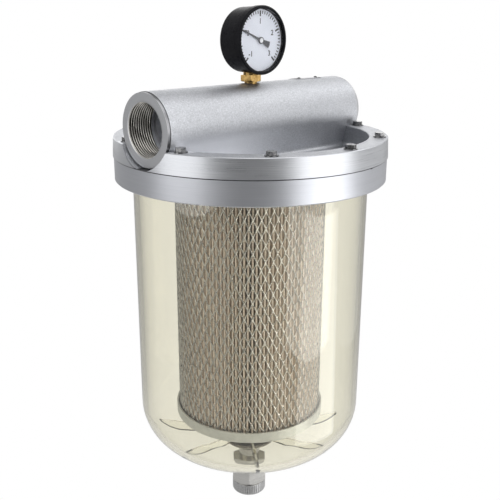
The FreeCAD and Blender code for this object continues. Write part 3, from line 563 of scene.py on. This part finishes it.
# Bowl: moulded clear, with a faint yellow tint, 5 mm thick, with a lip for the ring, a rounded foot
# and eight ribs across the floor. The inner skin carries the ribs.
bowl_r = 0.1092
bowl_wall = 0.005
bowl_lip_r = 0.1124
bowl_lip_top = -0.0400
bowl_lip_low = -0.0470
knuckle_r = 0.046
knuckle_z = -0.280
floor_slope = math.radians(6.0)
floor_flat = 0.029
bowl_hole = 0.0094
rib_count = 8
rib_first = math.radians(51.1)
rib_half = 0.0011
rib_foot = 0.0015
rib_tip = (0.0953, -0.3072)
rib_end = (0.0315, -0.3174)
lip_round = 0.0004
wall_rows = 40
inner_foot_rows = 48
outer_foot_rows = 24
inner_floor_rows = 40
outer_floor_rows = 24
flat_rows = 6
columns_per_bay = 26


def knuckle_arc(radius, count):
    """Points of the rounded foot, from the wall to where the floor's slope takes over."""
    angle = np.linspace(0, -np.pi / 2 + floor_slope, count)
    return np.stack([bowl_r - knuckle_r + radius * np.cos(angle),
                     knuckle_z + radius * np.sin(angle)], 1)


def straight(start, end, count):
    """Points evenly along a line, without its first."""
    share = np.linspace(0, 1, count + 1)[1:, None]
    return np.array(start) * (1 - share) + np.array(end) * share


def floor_line(corner, count):
    """From the rounded foot down the slope to the flat, and in to the hole."""
    flat_z = corner[1] - (corner[0] - floor_flat) * math.tan(floor_slope)
    slope = straight(corner, (floor_flat, flat_z), count)
    return np.vstack([slope, straight((floor_flat, flat_z), (bowl_hole, flat_z), flat_rows)])


def ribbed_skin(profile):
    """The inner skin: profile[i] is (radius, height), and the floor is lifted to the rib's top edge
    in the columns that stand on a rib. Near a rib the angle of a column is the rib's angle plus the
    turn that its sideways offset makes at that radius, and elsewhere an even share of the bay."""
    offsets = np.array([-rib_foot, -rib_half, rib_half, rib_foot])
    heights = np.array([0.0, 1.0, 1.0, 0.0])
    shares = np.linspace(0, 1, columns_per_bay + 2)[1:-1]
    radius = profile[:, 0]
    bay = 2 * np.pi / rib_count
    near = np.arcsin(np.clip(offsets[None, :] / radius[:, None], -1, 1))
    between = near[:, -1:] + (bay + near[:, :1] - near[:, -1:]) * shares[None, :]
    turn = np.hstack([near, between])
    lift = np.concatenate([heights, np.zeros(columns_per_bay)])
    across = (rib_tip[0] - radius) / (rib_tip[0] - rib_end[0])
    top = rib_tip[1] + (rib_end[1] - rib_tip[1]) * across
    on_rib = (radius < rib_tip[0]) & (radius > rib_end[0])
    rise = np.where(on_rib, np.maximum(top - profile[:, 1], 0), 0)
    height = profile[:, 1][:, None] + rise[:, None] * lift[None, :]
    starts = rib_first + np.pi + bay * np.arange(rib_count)
    turn = (starts[None, :, None] + turn[:, None, :]).reshape(len(profile), -1)
    height = np.tile(height, (1, rib_count))
    radius = radius[:, None] * np.ones_like(turn)
    return np.stack([radius * np.cos(turn), radius * np.sin(turn), height], axis=-1)


def turned_skin(profile, turn):
    """profile[i] is (radius, height), carried round the axis through the given angles."""
    radius = profile[:, 0][:, None] * np.ones_like(turn)
    return np.stack([radius * np.cos(turn), radius * np.sin(turn),
                     profile[:, 1][:, None] * np.ones_like(turn)], axis=-1)


def shadowless(tree, shader, tint):
    """Lets the lamps' light straight through a clear body, tinted, so that it casts no full shadow."""
    passing = tree.nodes.new("ShaderNodeLightPath")
    through = tree.nodes.new("ShaderNodeBsdfTransparent")
    through.inputs["Color"].default_value = (*tint, 1.0)
    choose = tree.nodes.new("ShaderNodeMixShader")
    tree.links.new(passing.outputs["Is Shadow Ray"], choose.inputs[0])
    tree.links.new(shader.outputs[0], choose.inputs[1])
    tree.links.new(through.outputs[0], choose.inputs[2])
    tree.links.new(choose.outputs[0], tree.nodes["Material Output"].inputs["Surface"])


inner_foot = knuckle_arc(knuckle_r - bowl_wall, inner_foot_rows)
outer_foot = knuckle_arc(knuckle_r, outer_foot_rows)
inner_r = bowl_r - bowl_wall
inner_profile = np.vstack([
    [[inner_r, bowl_lip_top]],
    straight((inner_r, bowl_lip_top), (inner_r, knuckle_z), wall_rows),
    inner_foot[1:],
    floor_line(inner_foot[-1], inner_floor_rows),
])
outer_profile = np.vstack([
    [[bowl_hole, outer_foot[-1][1] - (outer_foot[-1][0] - floor_flat) * math.tan(floor_slope)]],
    floor_line(outer_foot[-1], outer_floor_rows)[-2::-1],
    outer_foot[::-1],
    straight((bowl_r, knuckle_z), (bowl_r, bowl_lip_low), wall_rows),
    straight((bowl_r, bowl_lip_low), (bowl_lip_r - lip_round, bowl_lip_low), 1),
    straight((bowl_lip_r, bowl_lip_low + lip_round), (bowl_lip_r, bowl_lip_top - lip_round), 3),
    [[bowl_lip_r - lip_round, bowl_lip_top]],
])
inner_points = ribbed_skin(inner_profile)
even_turn = np.broadcast_to(np.arctan2(inner_points[0, :, 1], inner_points[0, :, 0]),
                            (len(outer_profile), inner_points.shape[1]))
outer_points = turned_skin(outer_profile, even_turn)
bowl_mesh = skin_mesh("clear_bowl", np.concatenate([inner_points, outer_points]), True, True)
clear, tree, shader = new_finish("clear_moulding", (0.97, 0.965, 0.93), 0.0, 0.0)
shader.inputs["Transmission Weight"].default_value = 1.0
shader.inputs["IOR"].default_value = 1.49
haze = grain(tree, place_of(tree, (1.0, 1.0, 0.3)), 60.0, 2.0)
roughen(tree, shader, haze, 0.0, 0.008)
amber = tree.nodes.new("ShaderNodeVolumeAbsorption")
amber.inputs["Color"].default_value = (0.78, 0.73, 0.5, 1.0)
amber.inputs["Density"].default_value = 46.0
tree.links.new(amber.outputs[0], tree.nodes["Material Output"].inputs["Volume"])
shadowless(tree, shader, (0.95, 0.945, 0.92))
bowl = put("clear_bowl", bowl_mesh, clear, "housing", sharp=35)
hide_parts("bowl")

# Cartridge caps: pressed from galvanised sheet and rolled over the ends of jacket and paper. They
# are pale grey with a soft cloud in the zinc.
cap_metal, tree, shader = new_finish("cap_zinc", (0.6, 0.61, 0.6), 0.55, 0.42)
cloud = grain(tree, place_of(tree), 150.0, 3.0)
mottle(tree, shader, cloud, (0.55, 0.565, 0.555), (0.66, 0.67, 0.66))
roughen(tree, shader, cloud, 0.36, 0.5)
dress("element_top_cap", cap_metal)
dress("element_bottom_cap", cap_metal)

# Folded paper: pinkish brown filter paper in deep narrow pleats, each a little out of line. It
# fills the room between core and jacket from cap to cap.
pleats = 120
pleat_tip = 0.0698
pleat_root = 0.046
paper_bore = 0.0438
pleat_top = -0.0476
pleat_foot = -0.2928
fold_radius = 0.0009
fold_steps = 7
root_share = 0.36
pleat_rows = 14
fold_scatter = 0.1
wander = 0.25
straighten = 0.5
most_lean = 0.24
draw = np.random.default_rng(7)


def pleat_points():
    """A closed drum of folds: each has a half round tip and two walls that run in to the root, a
    share of the pitch either side of the fold. Each tip wanders a little sideways down its length,
    by a sum of random steps."""
    bend = np.linspace(-np.pi / 2, np.pi / 2, fold_steps)
    pitch = 2 * np.pi / pleats
    fold_turn = np.concatenate([[-root_share * pitch], fold_radius * np.sin(bend) / pleat_tip,
                                [root_share * pitch]])
    fold_r = np.concatenate([[pleat_root], pleat_tip - fold_radius * (1 - np.cos(bend)), [pleat_root]])
    columns = len(fold_turn)
    height = np.linspace(pleat_top, pleat_foot, pleat_rows)
    lean = draw.normal(0, fold_scatter, (pleat_rows, pleats))
    lean = np.cumsum(lean, axis=0) * wander + draw.normal(0, fold_scatter, pleats)
    lean = np.clip(lean - lean.mean(axis=0) * straighten, -most_lean, most_lean)
    turn = (np.arange(pleats)[None, :, None] + lean[:, :, None] * (fold_r > pleat_root)) * pitch
    turn = (turn + fold_turn[None, None, :]).reshape(pleat_rows, pleats * columns)
    radius = np.tile(fold_r, pleats)
    points = np.stack([radius * np.cos(turn), radius * np.sin(turn),
                       height[:, None] * np.ones_like(turn)], axis=-1)
    core = points[[0, -1]].copy()
    core[:, :, :2] *= (paper_bore / radius)[None, :, None]
    return np.concatenate([core[:1], points, core[1:]])


paper, tree, shader = new_finish("filter_paper", (0.62, 0.48, 0.41), 0.0, 0.85)
fibre = grain(tree, place_of(tree, (1.0, 1.0, 0.15)), 900.0, 4.0, 0.7)
blotch = grain(tree, place_of(tree), 45.0, 2.0)
shade = blend_of(tree, spread(tree, blotch, 0.0, 1.0), (0.82, 0.7, 0.61), (0.88, 0.78, 0.7))
tree.links.new(blend_of(tree, spread(tree, fibre, 0.0, 0.45), shade, (0.92, 0.85, 0.79)),
               shader.inputs["Base Color"])
relief(tree, shader, fibre, 0.0001)
drum = put("folded_paper", skin_mesh("folded_paper", pleat_points(), True, True, flip=True),
           paper, "housing", sharp=70)
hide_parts("element_pleats")

# Jacket: expanded metal wrapped round the paper, long diamonds standing upright, each strand
# twisted a little so that its edge catches the light.
jacket_r = 0.0708
diamonds_round = 60
diamond_rows = 16
jacket_top = -0.0476
jacket_foot = -0.2928
strand = 0.0009
knot_tall = 2.3
strand_wide = 1.5
knot_half = 0.1
strand_twist = 0.00035
hole_round = 0.35
hole_size = 0.93
sheet_thick = 0.0005
hole_corners = 8
weld_reach = 0.00002
rounding = 1e-6


def diamond_mesh():
    """Each opening is a ring of quads between the diamond's own edge and the rounder, smaller hole
    inside it, whose edge is turned out on one side and in on the other. Cells stand at every half
    width, every other column half a height lower."""
    wide = 2 * np.pi * jacket_r / diamonds_round
    diamond_tall = (jacket_top - jacket_foot) / diamond_rows
    corner = np.arange(hole_corners) * 2 * np.pi / hole_corners
    u = np.cos(corner)
    w = np.sin(corner)
    size = np.abs(u) + np.abs(w)
    rim_u, rim_w = u / size * wide / 2, w / size * diamond_tall / 2
    rounder = size ** hole_round * hole_size
    hole_u = rim_u * (1 - strand_wide * strand / wide) * rounder
    hole_w = rim_w * (1 - knot_tall * strand / diamond_tall) * rounder
    column, row = np.meshgrid(np.arange(2 * diamonds_round), np.arange(diamond_rows), indexing="ij")
    centre_u = column.ravel() * wide / 2
    centre_w = jacket_top - (row.ravel() + 0.5 + 0.5 * (column.ravel() % 2)) * diamond_tall
    keep = centre_w - diamond_tall / 2 > jacket_foot - rounding
    centre_u, centre_w = centre_u[keep], centre_w[keep]
    flat_u = np.concatenate([rim_u, hole_u])[None, :]
    flat_w = np.concatenate([rim_w, hole_w])[None, :]
    twist = np.concatenate([np.zeros(hole_corners), strand_twist * np.sign(hole_u) *
                            (np.abs(hole_u) > wide * knot_half)])[None, :]
    angle = (centre_u[:, None] + flat_u) / jacket_r
    radius = (jacket_r + twist) * np.ones_like(angle)
    points = np.stack([radius * np.cos(angle), radius * np.sin(angle),
                       centre_w[:, None] + flat_w], axis=-1)
    k = np.arange(hole_corners)
    k2 = (k + 1) % hole_corners
    quad = np.stack([k, k2, hole_corners + k2, hole_corners + k], axis=-1)
    first = (np.arange(len(centre_u)) * 2 * hole_corners)[:, None, None]
    return mesh_of("diamond_jacket", points, first + quad[None])


jacket_metal, tree, shader = new_finish("jacket_zinc", (0.5, 0.49, 0.47), 0.9, 0.3)
spangle = grain(tree, place_of(tree), 260.0, 2.0)
mottle(tree, shader, spangle, (0.35, 0.345, 0.335), (0.6, 0.59, 0.57))
roughen(tree, shader, spangle, 0.22, 0.4)
jacket = put("diamond_jacket", diamond_mesh(), jacket_metal, "housing")
weld = jacket.modifiers.new("join_cells", "WELD")
weld.merge_threshold = weld_reach
thicken(jacket, sheet_thick)
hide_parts("element_jacket")

# Core, tie rod, washer and nut: a slotted galvanised tube inside the paper, and plated steel parts
# that hold the cartridge up against the head. Only the nut shows, under the cap.
plated, tree, shader = new_finish("plated_steel", (0.58, 0.58, 0.57), 1.0, 0.32)
drawn = grain(tree, place_of(tree, (1.0, 1.0, 0.1)), 400.0, 3.0)
mottle(tree, shader, drawn, (0.45, 0.45, 0.44), (0.66, 0.66, 0.64))
roughen(tree, shader, drawn, 0.25, 0.4)
for node in ("element_core", "tie_rod", "tie_washer", "tie_nut"):
    dress(node, plated)

# Drain gasket: a dark brown rubber washer between the bowl and the drain body, seen through the
# bowl's floor.
gasket, tree, shader = new_finish("gasket_rubber", (0.06, 0.05, 0.045), 0.0, 0.5)
bloom = grain(tree, place_of(tree), 600.0, 3.0)
mottle(tree, shader, bloom, (0.05, 0.04, 0.03), (0.12, 0.1, 0.08))
dress("drain_gasket", gasket)

# Drain body and nut: stainless bar, turned and polished, with fine rings left by the tool. The nut
# holds the body in the bowl's floor.
polished, tree, shader = new_finish("turned_stainless", (0.72, 0.71, 0.69), 1.0, 0.16)
rings = grain(tree, place_of(tree, (8.0, 8.0, 2500.0)), 1.0, 3.0, 0.7)
mottle(tree, shader, rings, (0.38, 0.375, 0.36), (0.6, 0.59, 0.57))
roughen(tree, shader, rings, 0.06, 0.16)
relief(tree, shader, rings, 0.00002)
dress("drain_body", polished)
dress("drain_nut", polished)

# Drain knob and its plunger: the knob is knurled for the fingers and duller than the body. The
# plunger inside it has the body's polish.
knurled, tree, shader = new_finish("knurled_steel", (0.42, 0.42, 0.42), 1.0, 0.4)
# On the knob this grain is only wear.
wear_and_painted_light = grain(tree, place_of(tree), 700.0, 3.0)
mottle(tree, shader, wear_and_painted_light, (0.3, 0.3, 0.3), (0.5, 0.5, 0.5))
roughen(tree, shader, wear_and_painted_light, 0.32, 0.5)
dress("drain_knob", knurled)
dress("drain_plunger", polished)

# Gauge stem and movement: free-cutting brass, turned, with bright edges on the stem's hexagon. The
# tube, plate, sector and arbor of the movement are hidden behind the dial.
brass, tree, shader = new_finish("turned_brass", (0.4, 0.26, 0.09), 1.0, 0.2)
tarnish = grain(tree, place_of(tree), 350.0, 3.0)
mottle(tree, shader, tarnish, (0.15, 0.088, 0.026), (0.37, 0.25, 0.1))
roughen(tree, shader, tarnish, 0.1, 0.2)
for node in ("gauge_stem", "pointer_arbor", "sector_gear", "movement_plate", "bourdon_tube"):
    dress(node, brass)

# Gauge case and bezel: drawn steel, enamelled black with a fine orange peel. The bezel is turned
# over the window's edge.
enamel, tree, shader = new_finish("black_enamel", (0.006, 0.006, 0.008), 0.0, 0.32)
shader.inputs["Specular IOR Level"].default_value = 0.1
peel = grain(tree, place_of(tree), 700.0, 2.0)
mottle(tree, shader, peel, (0.004, 0.004, 0.006), (0.009, 0.009, 0.011))
roughen(tree, shader, peel, 0.26, 0.4)
relief(tree, shader, peel, 0.00003)
dress("gauge_case", enamel)
dress("gauge_bezel", enamel)

# Gauge dial: white sheet printed in black from -1 to 3, ten ticks to the unit over three quarters
# of a turn, with plain numbers inside the ring of ticks.
dial_centre_z = 0.0684
dial_front = -0.0110
print_lift = 0.00006
tick_count = 41
ticks_per_unit = 10
tick_outer = 0.0250
tick_inner = 0.0225
half_tick_inner = 0.0217
long_tick_inner = 0.0203
tick_wide = 0.0009
long_tick_wide = 0.0015
scale_start = math.radians(225.0)
scale_per_unit = math.radians(-67.5)
number_radius = 0.0161
number_size = 0.0064
number_bold = 0.00012
dial_white, tree, shader = new_finish("dial_white", (0.77, 0.8, 0.88), 0.0, 0.4)
even = grain(tree, place_of(tree), 80.0, 2.0)
mottle(tree, shader, even, (0.75, 0.78, 0.86), (0.79, 0.82, 0.9))
dress("gauge_dial", dial_white)
dial_ink, tree, shader = new_finish("dial_ink", (0.015, 0.015, 0.018), 0.0, 0.5)
fade = grain(tree, place_of(tree), 900.0, 2.0)
mottle(tree, shader, fade, (0.008, 0.008, 0.01), (0.03, 0.03, 0.034))


def tick_mesh():
    """Each tick is a flat box that lies along a radius of the dial: four corners at half its width
    to either side of the radius, just before the dial's face, and four on the face."""
    step = np.arange(tick_count)
    angle = scale_start + scale_per_unit * step / ticks_per_unit
    whole = step % ticks_per_unit == 0
    half = step % (ticks_per_unit // 2) == 0
    inner = np.where(whole, long_tick_inner, np.where(half, half_tick_inner, tick_inner))
    width = np.where(whole, long_tick_wide, tick_wide)
    along = np.stack([inner, np.full(tick_count, tick_outer)], 1)[:, [0, 1, 1, 0]]
    across = np.stack([-width, -width, width, width], 1) / 2
    c, s = np.cos(angle)[:, None], np.sin(angle)[:, None]
    x = along * c - across * s
    z = dial_centre_z + along * s + across * c
    front = np.stack([x, np.full_like(x, dial_front - print_lift), z], -1)
    back = np.stack([x, np.full_like(x, dial_front), z], -1)
    points = np.concatenate([front, back], axis=1)
    box = np.array([[0, 1, 2, 3], [7, 6, 5, 4], [0, 4, 5, 1],
                    [1, 5, 6, 2], [2, 6, 7, 3], [3, 7, 4, 0]])
    faces = (np.arange(tick_count) * 8)[:, None, None] + box[None]
    return mesh_of("dial_ticks", points, faces)


put("dial_ticks", tick_mesh(), dial_ink, "housing", sharp=20)


def number_mesh(text, angle):
    """The characters as a thin plate, upright on the dial at that angle of its scale."""
    curve = bpy.data.curves.new("number", "FONT")
    curve.body = text
    curve.size = number_size
    curve.offset = number_bold
    curve.align_x = "CENTER"
    curve.align_y = "CENTER"
    curve.extrude = print_lift / 2
    writing = bpy.data.objects.new("number", curve)
    scene.collection.objects.link(writing)
    bpy.context.view_layer.update()
    solved = writing.evaluated_get(bpy.context.evaluated_depsgraph_get())
    mesh = bpy.data.meshes.new_from_object(solved)
    bpy.data.objects.remove(writing)
    place = Vector((number_radius * math.cos(angle), dial_front - print_lift / 2,
                    dial_centre_z + number_radius * math.sin(angle)))
    mesh.transform(Matrix.Translation(place) @ Matrix.Rotation(math.radians(90), 4, "X"))
    return mesh


for value, name in ((-1, "minus_one"), (0, "zero"), (1, "one"), (2, "two"), (3, "three")):
    angle = scale_start + scale_per_unit * (value + 1)
    mesh = number_mesh(str(value), angle)
    put("dial_" + name, mesh, dial_ink, "housing", sharp=20)

# Gauge pointer: thin dark sheet with an arrow head and a fan tail, pressed on the arbor under a
# small white cap.
cap_radius = 0.0021
cap_front = -0.01305
cap_back = -0.01284
cap_hole = 0.02
cap_rows = 8
cap_columns = 32
pointer_dark, tree, shader = new_finish("pointer_dark", (0.1, 0.105, 0.12), 0.0, 0.45)
fine = grain(tree, place_of(tree), 900.0, 2.0)
mottle(tree, shader, fine, (0.05, 0.053, 0.062), (0.09, 0.093, 0.105))
dress("gauge_pointer", pointer_dark)


def hub_cap_points():
    """A low dome turned about the gauge's axis: the front bulges towards the window by the root of
    the cosine of its share of the cap's radius, and the back is flat."""
    share = np.linspace(cap_hole, 1, cap_rows)
    front = cap_back + (cap_front - cap_back) * np.cos(share * np.pi / 2) ** 0.5
    radius = np.concatenate([share, [cap_hole]]) * cap_radius
    depth = np.concatenate([front, [cap_back]])
    turn = np.linspace(0, 2 * np.pi, cap_columns, endpoint=False)
    r, t = np.meshgrid(radius, turn, indexing="ij")
    y = depth[:, None] * np.ones_like(t)
    return np.stack([r * np.cos(t), y, dial_centre_z + r * np.sin(t)], axis=-1)


cap_white, tree, shader = new_finish("cap_white", (0.8, 0.81, 0.84), 0.0, 0.35)
even = grain(tree, place_of(tree), 700.0, 2.0)
mottle(tree, shader, even, (0.76, 0.77, 0.8), (0.84, 0.85, 0.88))
put("pointer_cap", skin_mesh("pointer_cap", hub_cap_points(), True, True), cap_white,
    "pointer", sharp=50)

# Gauge window: a flat disc of clear glass held by the bezel, with a faint smear on it. Shadows of
# the glass are left out, so that the dial behind it stays bright.
window, tree, shader = new_finish("window_glass", (1.0, 1.0, 1.0), 0.0, 0.0)
shader.inputs["Transmission Weight"].default_value = 1.0
shader.inputs["IOR"].default_value = 1.45
smear = grain(tree, place_of(tree), 90.0, 2.0)
roughen(tree, shader, smear, 0.0, 0.02)
shadowless(tree, shader, (1.0, 1.0, 1.0))
dress("gauge_window", window)
